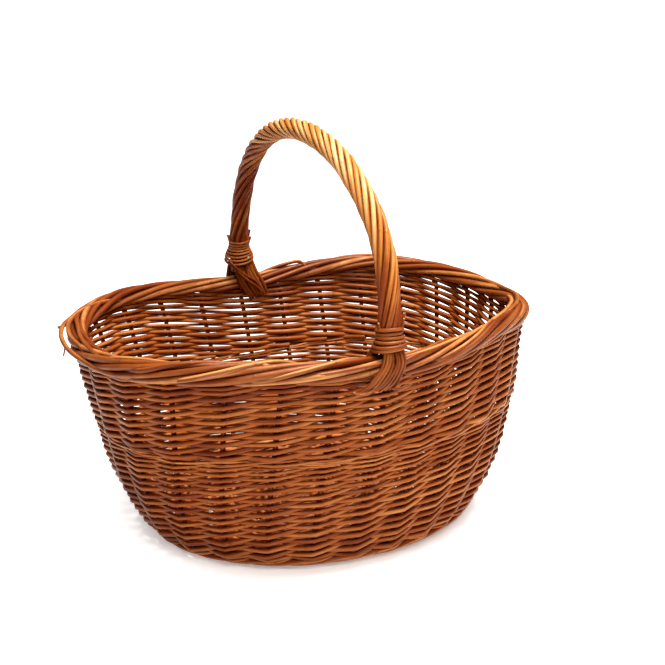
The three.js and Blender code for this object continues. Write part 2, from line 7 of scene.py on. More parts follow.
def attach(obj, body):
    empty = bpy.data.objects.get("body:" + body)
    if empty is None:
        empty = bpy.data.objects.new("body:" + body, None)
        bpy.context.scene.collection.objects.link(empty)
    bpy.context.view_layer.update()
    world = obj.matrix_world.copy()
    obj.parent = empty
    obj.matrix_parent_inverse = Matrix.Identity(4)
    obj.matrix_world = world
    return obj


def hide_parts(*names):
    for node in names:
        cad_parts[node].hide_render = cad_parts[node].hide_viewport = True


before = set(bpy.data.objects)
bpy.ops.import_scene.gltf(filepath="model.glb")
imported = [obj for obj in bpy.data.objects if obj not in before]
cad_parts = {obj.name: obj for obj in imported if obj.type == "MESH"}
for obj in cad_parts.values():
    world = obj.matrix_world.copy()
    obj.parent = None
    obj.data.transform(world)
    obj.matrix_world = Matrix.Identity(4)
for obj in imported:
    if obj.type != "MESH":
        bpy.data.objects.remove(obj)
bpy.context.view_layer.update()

mm = 0.001             # shapes are worked out in millimetres, meshes are in metres
fullTurn = 2 * np.pi
lengthwise, upward = np.array([1.0, 0.0, 0.0]), np.array([0.0, 0.0, 1.0])

# Small sums.

def between(first, last, share):
    # straight blend of two values
    return first + (last - first) * share


def shares(count):
    # one row of even shares from 0 to 1
    return np.linspace(0, 1, count)[None, :]


def unit(vectors):
    return vectors / np.linalg.norm(vectors, axis=-1, keepdims=True)


def smoothStep(low, high, value):
    # 0 up to the low value and 1 from the high one, with three squares less two cubes between them
    t = np.clip((value - low) / (high - low), 0, 1)
    return t * t * (3 - 2 * t)


def ringWay(first, second, turn):
    # the way at a turn from the first of two square ways towards the second
    return first * np.cos(turn)[..., None] + second * np.sin(turn)[..., None]


# Shader nodes.

def addNode(tree, kind, **settings):
    node = tree.nodes.new(kind)
    for name, value in settings.items():
        setattr(node, name, value)
    return node


def feed(tree, sockets, values):
    # each socket is given its plain value, or linked to another node's output
    for socket, value in zip(sockets, values):
        if isinstance(value, (int, float, tuple)):
            socket.default_value = value
        else:
            tree.links.new(value, socket)


def feedNamed(tree, sockets, values):
    feed(tree, [sockets[name] for name in values], values.values())


def mathNode(tree, operation, *values, clamp=False):
    node = addNode(tree, "ShaderNodeMath", operation=operation, use_clamp=clamp)
    feed(tree, node.inputs, values)
    return node.outputs[0]


def mixColors(tree, share, first, second):
    node = addNode(tree, "ShaderNodeMix", data_type="RGBA")
    feed(tree, (node.inputs[0], node.inputs[6], node.inputs[7]), (share, first, second))
    return node.outputs[2]


def vectorOf(tree, *values):
    node = addNode(tree, "ShaderNodeCombineXYZ")
    feed(tree, node.inputs, values)
    return node.outputs[0]


def noiseOf(tree, vector, scale, detail, roughness):
    node = addNode(tree, "ShaderNodeTexNoise")
    feedNamed(tree, node.inputs, {"Vector": vector, "Scale": scale, "Detail": detail, "Roughness": roughness})
    return node.outputs["Fac"]


def remap(tree, value, low, high, newLow=0.0, newHigh=1.0):
    # eased from one range to the other
    node = addNode(tree, "ShaderNodeMapRange", interpolation_type="SMOOTHSTEP")
    feedNamed(tree, node.inputs, {"Value": value, "From Min": low, "From Max": high, "To Min": newLow,
                                  "To Max": newHigh})
    return node.outputs["Result"]


def newMaterial(name):
    made = bpy.data.materials.new(name)
    made.use_nodes = True
    return made, made.node_tree, made.node_tree.nodes["Principled BSDF"].inputs


def addObject(name, data, matrix=Matrix()):
    made = bpy.data.objects.new(name, data)
    made.matrix_world = matrix
    bpy.context.collection.objects.link(made)
    return made


def standing(place, axes):
    # matrix of something at a place whose own x, y and z point along the three axes
    return Matrix.Translation(place) @ Matrix(axes).transposed().to_4x4()


# Camera and studio.

cameraSet = {   # in metres, with the camera's own right, up and back as its axes
    "place": (-0.5457, -1.1199, 0.5785),
    "axes": ((0.88979, -0.45637, 0.0), (0.13855, 0.27014, 0.95280), (-0.43483, -0.84779, 0.30360)),
    "lens": 72.745, "sensorWidth": 36.0, "farthest": 100.0,
}

studio = {
    "floorHalf": 30.0, "floorColor": (0.90, 0.90, 0.90, 1.0), "floorRoughness": 0.7, "floorShine": 0.1,
    "floorGlow": 0.30, "glowNear": 0.02, "glowFar": 0.67, "glowReach": (0.14, 0.212),
    "glowColor": (1.0, 1.0, 1.0, 1.0), "worldColor": (1.0, 1.0, 1.0, 1.0), "worldStrength": 0.07,
    "steepAim": 0.95,   # a light that looks down more than this has its top towards +y
    "softboxes": (   # place, aimed at, width, height, power, colour
        ((0.22, -0.20, 1.72), (0.0, 0.0, 0.1), 1.0, 0.7, 60.0, (1.0, 0.97, 0.92)),
        ((-0.30, -1.25, 1.50), (0.0, 0.0, 0.1), 1.2, 0.9, 21.0, (1.0, 0.96, 0.90)),
    ),
}


def setCamera():
    view = bpy.data.cameras.new("studio camera")
    view.sensor_width = cameraSet["sensorWidth"]
    view.lens = cameraSet["lens"]
    view.clip_end = cameraSet["farthest"]
    holder = addObject("studio camera", view, standing(cameraSet["place"], cameraSet["axes"]))
    bpy.context.scene.camera = holder


def aimAt(place, target):
    # matrix of a light whose -Z axis looks from its place to the target
    back = unit(np.array(place) - target)
    steep = abs(back[2]) > studio["steepAim"]
    side = unit(np.cross((0.0, 1.0, 0.0) if steep else upward, back))
    return standing(place, (side, np.cross(back, side), back))


def setStudio():
    half = studio["floorHalf"]
    mesh = bpy.data.meshes.new("floor")
    corners = [(x * half, y * half, 0) for x, y in ((-1, -1), (1, -1), (1, 1), (-1, 1))]
    mesh.from_pydata(corners, [], [(0, 1, 2, 3)])
    paper, tree, surface = newMaterial("pale paper")
    mesh.materials.append(paper)
    # The paper lights the basket from below. As a backdrop it looks whiter, most of all away from the
    # basket, where the softboxes hardly reach it.
    away = addNode(tree, "ShaderNodeVectorMath", operation="LENGTH")
    tree.links.new(addNode(tree, "ShaderNodeTexCoord").outputs["Object"], away.inputs[0])
    lightAndShade = remap(tree, away.outputs["Value"], *studio["glowReach"], studio["glowNear"], studio["glowFar"])
    seen = addNode(tree, "ShaderNodeLightPath").outputs["Is Camera Ray"]
    feedNamed(tree, surface, {
        "Base Color": studio["floorColor"], "Roughness": studio["floorRoughness"],
        "Specular IOR Level": studio["floorShine"], "Emission Color": studio["glowColor"],
        "Emission Strength": mathNode(tree, "MULTIPLY_ADD", lightAndShade, seen, studio["floorGlow"]),
    })
    addObject("floor", mesh)

    sky = bpy.data.worlds.new("studio")
    sky.use_nodes = True
    air = sky.node_tree.nodes["Background"].inputs
    feedNamed(sky.node_tree, air, {"Color": studio["worldColor"], "Strength": studio["worldStrength"]})
    bpy.context.scene.world = sky
    bpy.context.scene.view_settings.view_transform = "Standard"

    for number, (place, target, width, height, power, color) in enumerate(studio["softboxes"]):
        lamp = bpy.data.lights.new("softbox %d" % (number + 1), "AREA")
        lamp.shape = "RECTANGLE"
        lamp.size, lamp.size_y = width, height
        lamp.energy, lamp.color = power, color
        addObject(lamp.name, lamp, aimAt(place, target))


setCamera()
setStudio()
print("camera and studio set")

# Willow finish.

# the flank range below says where painted shade lies along each rod's flanks
grain = {   # marks that every rod has: rates go by its length in metres, ranges are eased from 0 to 1
    "toneOffset": 53.0, "streakRate": 55.0, "streakRound": 2.2, "driftRate": 14.0,
    "streakNoise": (1.6, 4.0, 0.6), "driftNoise": (0.55, 2.0, 0.5), "blotchNoise": (55.0, 3.0, 0.6),
    "streakRange": (0.33, 0.67), "driftRange": (0.3, 0.7), "weatherRange": (0.35, 0.7),
    "toneShare": 0.62, "driftShare": 0.45, "bodyRange": (0.0, 0.5), "paleRange": (0.45, 1.0),
    "scarRate": 31.0, "scarShift": 40.0, "scarTurn": 0.3333, "scarLength": (0.955, 0.995),
    "scarWidth": (0.72, 0.98), "flankShadeRange": (0.62, 1.0),
    "roughness": 0.29, "streakRoughness": 0.12, "weatherRoughness": 0.16, "cutRoughness": 0.4,
    "streakHeight": 0.45, "scarHeight": 0.8, "bumpStrength": 0.5, "bumpDistance": 0.0005,
    "coatRoughness": 0.22,
}
skinColors, skinShares = ("Pale", "Middle", "Deep", "Pith"), ("Streaks", "Scars", "Weathering", "PaintedShade")


def makeWillowSkin():
    # Streaks run along each rod because the noise is read on a thin cylinder: the rod's wrap gives
    # its angle, and its length in metres is squeezed. Leaf scars sit on a spiral of the same two values.
    tree = bpy.data.node_groups.new("willow skin", "ShaderNodeTree")
    for way, kind, names in (("INPUT", "Color", skinColors), ("INPUT", "Float", skinShares),
                             ("OUTPUT", "Color", ("Color",)), ("OUTPUT", "Float", ("Roughness", "Height"))):
        for name in names:
            tree.interface.new_socket(name=name, in_out=way, socket_type="NodeSocket" + kind)
    inside = addNode(tree, "NodeGroupInput").outputs
    outside = addNode(tree, "NodeGroupOutput").inputs

    operations = "MULTIPLY", "ADD", "SUBTRACT", "COSINE", "SINE", "ABSOLUTE"
    times, plus, less, cosineOf, sineOf, sizeOf = (partial(mathNode, tree, name) for name in operations)
    mix, noise, eased, vector = (partial(make, tree) for make in (mixColors, noiseOf, remap, vectorOf))
    tone, cut, lightAndShade = (addNode(tree, "ShaderNodeAttribute", attribute_name=name).outputs["Fac"]
                       for name in ("rodTone", "cutEnd", "rodLightAndShade"))
    wrap = addNode(tree, "ShaderNodeSeparateXYZ")
    tree.links.new(addNode(tree, "ShaderNodeUVMap", uv_map="rodWrap").outputs[0], wrap.inputs[0])
    around, length = times(wrap.outputs[0], fullTurn), wrap.outputs[1]
    cosine, sine = cosineOf(around), sineOf(around)
    offset = times(tone, grain["toneOffset"])
    slow = plus(times(length, grain["driftRate"]), offset)
    quick = plus(times(length, grain["streakRate"]), offset)
    thin = [times(value, grain["streakRound"]) for value in (cosine, sine)]
    streakNoise = noise(vector(*thin, quick), *grain["streakNoise"])
    driftNoise = noise(vector(cosine, sine, slow), *grain["driftNoise"])
    blotch = noise(addNode(tree, "ShaderNodeTexCoord").outputs["Object"], *grain["blotchNoise"])
    streaks = eased(streakNoise, *grain["streakRange"])
    drift = eased(driftNoise, *grain["driftRange"])
    weather = eased(blotch, *grain["weatherRange"])

    # each rod has its own tone, and drifts a little from it along its length; painted light and shade kept
    # on its points makes it paler or darker still
    paleness = plus(plus(times(tone, grain["toneShare"]), times(drift, grain["driftShare"])), lightAndShade)
    paleness = less(paleness, times(weather, inside["Weathering"]), clamp=True)
    lower = mix(eased(paleness, *grain["bodyRange"]), inside["Deep"], inside["Middle"])
    color = mix(eased(paleness, *grain["paleRange"]), lower, inside["Pale"])
    color = mix(times(streaks, inside["Streaks"]), color, inside["Deep"])

    # leaf scars: short dark marks every few centimetres, each a third of a turn on from the last
    beat = times(length, fullTurn * grain["scarRate"])
    ring = cosineOf(plus(beat, times(tone, grain["scarShift"])))
    turned = cosineOf(plus(around, times(beat, grain["scarTurn"])))
    scar = times(eased(ring, *grain["scarLength"]), eased(turned, *grain["scarWidth"]))
    color = mix(times(scar, inside["Scars"]), color, inside["Deep"])
    # painted shade: the flanks, where one rod touches the next, are darkened towards the deep colour
    flankShade = eased(sizeOf(sine), *grain["flankShadeRange"])
    color = mix(times(flankShade, inside["PaintedShade"]), color, inside["Deep"])
    color = mix(cut, color, inside["Pith"])

    rough = plus(times(streaks, grain["streakRoughness"]), times(weather, grain["weatherRoughness"]))
    rough = plus(plus(rough, times(cut, grain["cutRoughness"])), grain["roughness"])
    height = plus(times(streakNoise, grain["streakHeight"]), times(scar, grain["scarHeight"]))
    feedNamed(tree, outside, {"Color": color, "Roughness": rough, "Height": height})
    return tree


willowSkin = makeWillowSkin()

# one of each finish's marking shares is painted shade on the flanks where one rod touches the next
finishes = {   # each slot's willow: sun side, body, shadow side, cut end, reflection, and how marked it is
    "siding_willow": dict(pale=(0.60, 0.220, 0.056), middle=(0.350, 0.083, 0.011), deep=(0.14, 0.016, 0.001),
                          pith=(0.66, 0.42, 0.20), shine=(1.0, 0.80, 0.60), streaks=0.44, scars=0.55,
                          weathering=0.14, paintedshade=0.85, coat=0.0, sheen=0.27),
    "border_willow": dict(pale=(0.66, 0.285, 0.085), middle=(0.275, 0.067, 0.010), deep=(0.13, 0.016, 0.001),
                          pith=(0.74, 0.50, 0.26), shine=(1.0, 0.86, 0.64), streaks=0.28, scars=0.45,
                          weathering=0.14, paintedshade=0.7, coat=0.0, sheen=0.33),
    "rope_willow": dict(pale=(0.86, 0.49, 0.190), middle=(0.58, 0.205, 0.034), deep=(0.20, 0.027, 0.002),
                        pith=(0.78, 0.56, 0.32), shine=(1.0, 0.90, 0.66), streaks=0.26, scars=0.3,
                        weathering=0.12, paintedshade=0.7, coat=0.03, sheen=0.28),
    "binding_willow": dict(pale=(0.54, 0.205, 0.048), middle=(0.315, 0.079, 0.012), deep=(0.12, 0.014, 0.001),
                           pith=(0.74, 0.54, 0.30), shine=(1.0, 0.84, 0.60), streaks=0.3, scars=0.3,
                           weathering=0.2, paintedshade=0.55, coat=0.0, sheen=0.3),
    "base_willow": dict(pale=(0.52, 0.18, 0.05), middle=(0.34, 0.09, 0.02), deep=(0.14, 0.025, 0.005),
                        pith=(0.64, 0.42, 0.22), shine=(1.0, 0.76, 0.60), streaks=0.36, scars=0.5,
                        weathering=0.3, paintedshade=0.6, coat=0.0, sheen=0.3),
}


def makeFinish(slotName):
    look = finishes[slotName]
    made, tree, surface = newMaterial(slotName.replace("_", " "))
    skin = addNode(tree, "ShaderNodeGroup", node_tree=willowSkin)
    feedNamed(tree, skin.inputs, {name: look[name.lower()] + (1.0,) for name in skinColors})
    feedNamed(tree, skin.inputs, {name: look[name.lower()] for name in skinShares})
    relief = addNode(tree, "ShaderNodeBump")
    feedNamed(tree, relief.inputs, {"Strength": grain["bumpStrength"], "Distance": grain["bumpDistance"],
                                    "Height": skin.outputs["Height"]})
    feedNamed(tree, surface, {
        "Base Color": skin.outputs["Color"], "Roughness": skin.outputs["Roughness"],
        "Normal": relief.outputs["Normal"], "Specular IOR Level": look["sheen"],
        "Specular Tint": look["shine"] + (1.0,), "Coat Weight": look["coat"],
        "Coat Roughness": grain["coatRoughness"],
    })
    return made


madeFinishes = {name: makeFinish(name) for name in finishes}
print("willow finishes made")

# The basket's own surface.

shape = {
    "rimHalfLength": 215.0, "leftReach": 5.0, "rimHalfWidth": 169.0, "rimSquareness": 2.35,
    "baseHalfLength": 158.0, "baseHalfWidth": 131.0, "baseSquareness": 2.12, "footSpread": 1.5,
    "rimHeight": 193.0, "frontRise": 3.3, "rightRise": 1.6, "cornerRise": 4.0,
    "bellyShare": 0.45, "bellyQuickness": 4.5, "cornerRounding": 12.0,
    "rollRadius": 6.8, "stakeRadius": 2.4, "legLength": 36.0, "stakeLean": 8.0,
    "leftGaps": 13, "rightGaps": 14, "handleSkew": 2.0, "shift": (2.53, 0.12, 6.69), "floorGap": 0.05,
}
stakeCount = shape["leftGaps"] + shape["rightGaps"]
bowPlaces = (0, shape["rightGaps"])   # the two stake places that the handle's bow takes

swells = {   # where the hand work leaves the even form: size, then angle and width in degrees
    "foot": ((3.5, -88, 38),),                    # spreads most in front
    "pull": ((1.0, 165, 22), (-3.5, -14, 24), (-7.0, -44, 20)),   # border let out and drawn in
    "settled": ((-2.5, 95, 55),),                 # border sunk at the back
    "tuck": ((4.5, 208, 42), (1.5, -40, 30)),     # wall drawn in
    "collar": ((55.0, -20, 28),),                 # wall drawn in under the border
    "roll": ((-1.2, 95, 70), (-1.8, -30, 28)),    # thinner roll of the border
    "airy": ((1.0, 108, 24), (0.45, 17, 13)),     # rods of the siding thinner
    "sidingDarker": ((-0.22, 215, 45),),                 # siding darker
}
angleStep, runStep = 0.002, 0.5   # small steps in radians and mm that give directions on a surface
samples = dict(wall=201, rim=721, course=400, arch=1201)   # points on each line whose length is measured


def nearAngle(angle, middle, width):
    # 1 at one angle in degrees, falling away smoothly on both sides of it
    away = (angle - np.radians(middle) + np.pi) % fullTurn - np.pi
    return np.exp(-(away / np.radians(width)) ** 2)


def swell(name, angle):
    # all the swells of one name, added up at an angle
    return sum(size * nearAngle(angle, middle, width) for size, middle, width in swells[name])


def ovalRadius(angle, halfLength, halfWidth, squareness):
    # radius of a squared oval at a polar angle: one over the squareness root of the sum of powers
    along = np.abs(np.cos(angle) / halfLength) ** squareness
    across = np.abs(np.sin(angle) / halfWidth) ** squareness
    return (along + across) ** (-1 / squareness)


def rimRadius(angle):
    # the left half reaches out a little further than the right
    halfLength = shape["rimHalfLength"] + shape["leftReach"] * (1 - np.cos(angle)) / 2
    return ovalRadius(angle, halfLength, shape["rimHalfWidth"], shape["rimSquareness"])


def footRadius(angle):
    oval = ovalRadius(angle, shape["baseHalfLength"], shape["baseHalfWidth"], shape["baseSquareness"])
    return oval + shape["footSpread"] + swell("foot", angle)


def rimLevel(angle):
    # the border rises a little to the front, to the right and at the four corners
    return (shape["rimHeight"] + shape["rightRise"] * np.cos(angle) - shape["frontRise"] * np.sin(angle)
            - shape["cornerRise"] * np.cos(4 * angle))


def borderLevel(angle):
    return rimLevel(angle) + swell("settled", angle)


def polar(angle, radius, height):
    angle, radius, height = np.broadcast_arrays(angle, radius, height)
    return np.stack([radius * np.cos(angle), radius * np.sin(angle), height], axis=-1)


def heading(curve, at, step):
    # the way along a curve: from the point a small step behind to the point a small step ahead
    return unit(curve(at + step) - curve(at - step))


def wallPoint(angle, share):
    # The wall leans out steadily, with the rest of its flare taken up quickly above the foot. The border's
    # pull grows with the fourth power of the height, the collar with the sixth, and the tuck is deepest
    # half way up.
    left = np.clip(1 - share, 0, 1)
    flare = (1 - shape["bellyShare"]) * share + shape["bellyShare"] * (1 - left ** shape["bellyQuickness"])
    radius = between(footRadius(angle), rimRadius(angle), flare) + swell("pull", angle) * share ** 4
    radius = radius - (swell("tuck", angle) * 4 * share + swell("collar", angle) * share ** 6) * left
    return polar(angle, radius, (borderLevel(angle) - shape["rollRadius"]) * share)


def lengthsAlong(points):
    # length of a line of points up to each of them
    return np.concatenate([[0], np.cumsum(np.linalg.norm(np.diff(points, axis=0), axis=1))])


frontAngle, backAngle = -np.pi / 2 - np.radians(shape["handleSkew"]), np.pi / 2
wallRun = float(lengthsAlong(wallPoint(frontAngle, np.linspace(0, 1, samples["wall"])))[-1])


def surfacePoint(angle, run):
    # flat along the legs, then a quadratic curve round the corner at the foot, then up the wall
    rounding = shape["cornerRounding"]
    angle, run = np.broadcast_arrays(angle, run)
    foot = footRadius(angle)
    flat = polar(angle, foot + np.minimum(run, 0), np.zeros_like(run))
    wall = wallPoint(angle, np.clip(run / wallRun, 0, None))
    t = np.clip((run + rounding) / (2 * rounding), 0, 1)[..., None]
    start = polar(angle, foot - rounding, np.zeros_like(run))
    corner = wallPoint(angle, np.zeros_like(run))
    end = wallPoint(angle, np.full_like(run, rounding / wallRun))
    curve = start * (1 - t) ** 2 + corner * 2 * t * (1 - t) + end * t ** 2
    run = run[..., None]
    return np.where(run <= -rounding, flat, np.where(run >= rounding, wall, curve))


def surfaceFrame(angle, run):
    # middle of the wall and the way out of the basket at each angle and run
    angle, run = np.broadcast_arrays(np.asarray(angle, float), np.asarray(run, float))
    sideways = heading(lambda at: surfacePoint(at, run), angle, angleStep)
    along = heading(lambda at: surfacePoint(angle, at), run, runStep)
    return surfacePoint(angle, run), unit(np.cross(sideways, along))


def shareAngles(start, end, gaps):
    # polar angles that cut the rim between two angles into equal lengths
    angles = np.linspace(start, end, samples["rim"])
    lengths = lengthsAlong(polar(angles, rimRadius(angles), 0.0))
    return np.interp(np.arange(gaps) / gaps * lengths[-1], lengths, angles)


stakeAngles = np.concatenate([
    shareAngles(frontAngle, backAngle, shape["rightGaps"]),
    shareAngles(backAngle, frontAngle + fullTurn, shape["leftGaps"]),
    [frontAngle + fullTurn],
])


def placeAngle(place):
    # polar angle at a place counted in stakes from the front foot of the handle
    lap = np.floor(place / stakeCount)
    return np.interp(place - lap * stakeCount, np.arange(stakeCount + 1), stakeAngles) + lap * fullTurn


def stakeFrame(place, run):
    # the wall's frame on a stake line, which leans back round the basket towards the foot
    lean = np.radians(shape["stakeLean"]) * (1 - np.clip(run / wallRun, 0, 1))
    return surfaceFrame(placeAngle(place) - lean, run)


# Rods.

def wander(rng, paths, stations, waves):
    # smooth random walk for each rod: a few sine waves of random phase, shorter ones weaker
    total = np.zeros((paths, stations))
    for wave in range(1, waves + 1):
        phase = rng.uniform(0, fullTurn, (paths, 1))
        strength = rng.normal(0, 1, (paths, 1)) / wave
        total += strength * np.sin(fullTurn * shares(stations) * wave + phase)
    return total


def smoothPath(keys, count):
    # Smooth curve through the key points of many rods at once (rods x points x 3): each span is the
    # cubic whose slope at a key is half the step between that key's neighbours.
    padded = np.concatenate([2 * keys[:, :1] - keys[:, 1:2], keys, 2 * keys[:, -1:] - keys[:, -2:-1]], axis=1)
    spans = keys.shape[1] - 1
    u = np.linspace(0, spans, count)
    low = np.minimum(u.astype(int), spans - 1)
    t = (u - low)[None, :, None]
    a, b, c, d = (padded[:, low + shift] for shift in range(4))
    quadratic, cubic = 2 * a - 5 * b + 4 * c - d, 3 * b - a - 3 * c + d
    return 0.5 * (2 * b + (c - a) * t + quadratic * t ** 2 + cubic * t ** 3)


def aboveFloor(path, radius):
    # nothing sinks below the floor
    path[..., 2] = np.maximum(path[..., 2], radius + shape["floorGap"] - shape["shift"][2])
    return path


chamfer = dict(length=0.35, end=0.7)   # of a rod's cut end, as shares of its radius


def sweepRods(paths, out, radius, sides, tones, lightAndShade=0.0):
    # A ring is carried along each path: the ring's first direction is the given one made square to
    # the path. The ends are chamfered and closed.
    paths = np.asarray(paths, float)
    rods, stations = paths.shape[:2]
    out = np.broadcast_to(out, paths.shape)
    radius = np.broadcast_to(radius, (rods, stations)).astype(float)
    bothEnds = ((0, 0), (1, 1))
    lightAndShade = np.pad(np.broadcast_to(lightAndShade, (rods, stations)), bothEnds, mode="edge")
    tangent = unit(np.gradient(paths, axis=1))
    first = unit(out - (out * tangent).sum(-1, keepdims=True) * tangent)
    second = np.cross(tangent, first)

    beyond = chamfer["length"] * radius[..., None] * tangent
    centre = np.concatenate([paths[:, :1] - beyond[:, :1], paths, paths[:, -1:] + beyond[:, -1:]], axis=1)
    first, second = (np.pad(way, bothEnds + ((0, 0),), mode="edge") for way in (first, second))
    radius = np.concatenate([radius[:, :1] * chamfer["end"], radius, radius[:, -1:] * chamfer["end"]], axis=1)
    stations += 2

    turn = np.arange(sides) * fullTurn / sides
    ring = ringWay(first[:, :, None], second[:, :, None], turn)
    points = (centre[:, :, None] + ring * radius[:, :, None, None]).reshape(-1, 3)
    steps = np.linalg.norm(np.diff(centre, axis=1), axis=2)
    lengths = np.concatenate([np.zeros((rods, 1)), np.cumsum(steps, axis=1)], axis=1) * mm

    def index(rod, station, side):
        return (rod * stations + station) * sides + side % sides

    rod, i, k = np.meshgrid(np.arange(rods), np.arange(stations - 1), np.arange(sides), indexing="ij")
    corners = ((i, k), (i, k + 1), (i + 1, k + 1), (i + 1, k))
    quads = np.stack([index(rod, station, side) for station, side in corners], -1)
    wrapU = np.stack([k, k + 1, k + 1, k], -1) / sides
    wrapV = np.stack([lengths[rod, i], lengths[rod, i], lengths[rod, i + 1], lengths[rod, i + 1]], -1)
    everyRod, everySide = np.arange(rods)[:, None], np.arange(sides)
    caps = np.concatenate([index(everyRod, 0, everySide[::-1]), index(everyRod, stations - 1, everySide)])
    capU = np.tile(everySide / sides, (2 * rods, 1))
    wrap = [np.stack(pair, -1).reshape(-1, 2) for pair in ((wrapU, wrapV), (capU, np.zeros_like(capU)))]
    return {
        "points": points, "faces": (quads.reshape(-1, 4), caps), "wrap": np.concatenate(wrap),
        "rodTone": np.repeat(tones, stations * sides), "rodLightAndShade": np.repeat(lightAndShade.ravel(), sides),
    }


def numbered(name, count, pattern="%s_%d"):
    return [pattern % (name, number + 1) for number in range(count)]


def makePiece(name, slotName, nodes, rods):
    # sweeps sets of rods and joins them into one mesh, with each rod's tone on its points and each
    # cut end marked: a set is paths, the way out, radius, sides, tones and, where it has any, painted light
    # and shade
    parts = [sweepRods(*rod) for rod in rods]
    points, wrap, tone, lightAndShade = (np.concatenate([part[key] for part in parts])
                                for key in ("points", "wrap", "rodTone", "rodLightAndShade"))
    points = (points + shape["shift"]) * mm
    loops, corners, cuts, count = [], [], [], 0
    for part in parts:
        for faces, cutMark in zip(part["faces"], (0.0, 1.0)):
            loops.append((faces + count).ravel())
            corners.append(np.full(len(faces), faces.shape[1]))
            cuts.append(np.full(len(faces), cutMark))
        count += len(part["points"])
    loops, corners, cuts = (np.concatenate(values) for values in (loops, corners, cuts))
    mesh = bpy.data.meshes.new(name)
    for holder, values in ((mesh.vertices, points), (mesh.loops, loops), (mesh.polygons, corners)):
        holder.add(len(values))
    mesh.vertices.foreach_set("co", points.astype(np.float32).ravel())
    mesh.loops.foreach_set("vertex_index", loops.astype(np.int32))
    mesh.polygons.foreach_set("loop_start", (np.cumsum(corners) - corners).astype(np.int32))
    mesh.polygons.foreach_set("use_smooth", cuts < 0.5)
    mesh.update(calc_edges=True)
    mesh.uv_layers.new(name="rodWrap").data.foreach_set("uv", wrap.astype(np.float32).ravel())
    for label, domain, values in (("rodTone", "POINT", tone), ("rodLightAndShade", "POINT", lightAndShade),
                                  ("cutEnd", "FACE", cuts)):
        mesh.attributes.new(label, "FLOAT", domain).data.foreach_set("value", values.astype(np.float32))
    mesh.validate()
    mesh.materials.append(madeFinishes[slotName])
    piece = addObject(name, mesh)
    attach(piece, "root")
    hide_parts(*nodes)
    print(name, "made:", len(corners), "faces")


def passing(point, out, side, barRadius, radius, press):
    # rods that pass bars at each point: outside where side is 1, inside where it is -1
    return aboveFloor(point + out * (side * (barRadius + radius) * press)[..., None], radius)


# Siding: two courses of single rods. Runs are in mm up the wall from the foot. The foot wale's values
# come first, because the edge weave climbs with it.

footWale = dict(rounds=2, startPlace=16.0, firstRun=-8.5, climb=7.8, thickness=4.6, spread=0.54, wobble=0.3,
                stations=8, sides=10, seed=22)

# the shadow runs below say how far under the top of the wall the painted shadow of the border begins and
# where it is full
singleRods = dict(rods=39, drift=0.0, press=0.97, stations=8, sides=8, thinLead=0.25, thickWobble=0.03,
                  toneRange=(0.38, 0.9), shadowRuns=(26.0, 6.0), driftEnd=0.88)
sidingLook = dict(singleRods, uneven=0.09, wobble=0.42, straightness=0.8)


def layerRuns(course):
    # height up the wall of each layer: the layers lie closer together towards the top of a course
    runs = np.linspace(course["firstRun"], course["lastRun"], samples["course"])
    share = (runs - runs[0]) / (runs[-1] - runs[0])
    spacing = course["pitch"] / 2 * (1 - course["closeUp"] * smoothStep(course["thinFrom"], 1, share))
    steps = np.diff(runs) / ((spacing[1:] + spacing[:-1]) / 2)
    return np.concatenate([[0], np.cumsum(steps)]), runs


def sidingRods(course):
    # Every rod starts behind a stake and goes before one and behind the next, a little later round
    # than the rod below it. Its height follows from how many rods have started since.
    rng = np.random.default_rng(course["seed"])
    rods = course["rods"]
    layers, runs = layerRuns(course)
    number = np.arange(rods)
    first = stakeCount * number / rods
    last = first + layers[-1] * stakeCount / rods
    startPlace = np.floor(first) - (np.floor(first) + number + course["parity"] + 1) % 2
    endPlace = np.ceil(last) + (np.ceil(last) + number + course["parity"] + 1) % 2
    stations = int(np.ceil((endPlace - startPlace).max()) * course["stations"]) + 1
    place = between(startPlace[:, None], endPlace[:, None], shares(stations))
    layer = np.clip((place - first[:, None]) * rods / stakeCount, 0, layers[-1])
    run = np.interp(layer, layers, runs)
    share = layer / layers[-1]
    lap = ((place - footWale["startPlace"]) % stakeCount) / stakeCount
    run = run + course["drift"] * share * (lap - smoothStep(course["driftEnd"], 1, lap))
    thinner = smoothStep(course["thinFrom"] - course["thinLead"], 1, share)
    radius = between(course["butt"], course["tip"], thinner)
    radius = radius * (1 - course["airy"] * swell("airy", placeAngle(place)))
    radius = radius * (1 + course["uneven"] * rng.normal(0, 1, (rods, 1)).clip(-1.8, 1.8))
    radius = radius * (1 + course["thickWobble"] * wander(rng, rods, stations, 5))
    run = run + course["wobble"] * wander(rng, rods, stations, 9)
    # the rod bends where it passes a stake, and is straighter in between
    wave = np.cos(np.pi * (place + number[:, None] + course["parity"]))
    straight = 2 / np.pi * np.arcsin(np.clip(wave, -1, 1))
    side = between(wave, straight, course["straightness"])
    point, out = stakeFrame(place, run)
    path = passing(point, out, side, shape["stakeRadius"], radius, course["press"])
    # painted shadow: the rods near the top of the wall, under the border, are darker, and so are those at the
    # left
    low, high = (wallRun - under for under in course["shadowRuns"])
    lightAndShade = course["borderShadow"] * smoothStep(low, high, run) + swell("sidingDarker", placeAngle(place))
    return path, out, radius, rng.uniform(*course["toneRange"], rods), lightAndShade


# a course's negative top value darkens its top rods with painted shadow from the border
lowerSiding = dict(sidingLook, firstRun=7.6, lastRun=109.5, pitch=7.85, thinFrom=0.66, closeUp=0.4,
                   butt=2.25, tip=1.45, borderShadow=0.0, airy=0.06, parity=0, seed=11)
upperSiding = dict(sidingLook, firstRun=115.2, lastRun=wallRun + 1.5, pitch=7.6, thinFrom=0.68, closeUp=0.42,
                   butt=2.3, tip=1.8, borderShadow=-0.15, airy=0.17, parity=1, seed=12)


def makeSiding(name, course, slotName, node):
    path, out, radius, tone, lightAndShade = sidingRods(course)
    makePiece(name, slotName, [node], [(path, out, radius, course["sides"], tone, lightAndShade)])


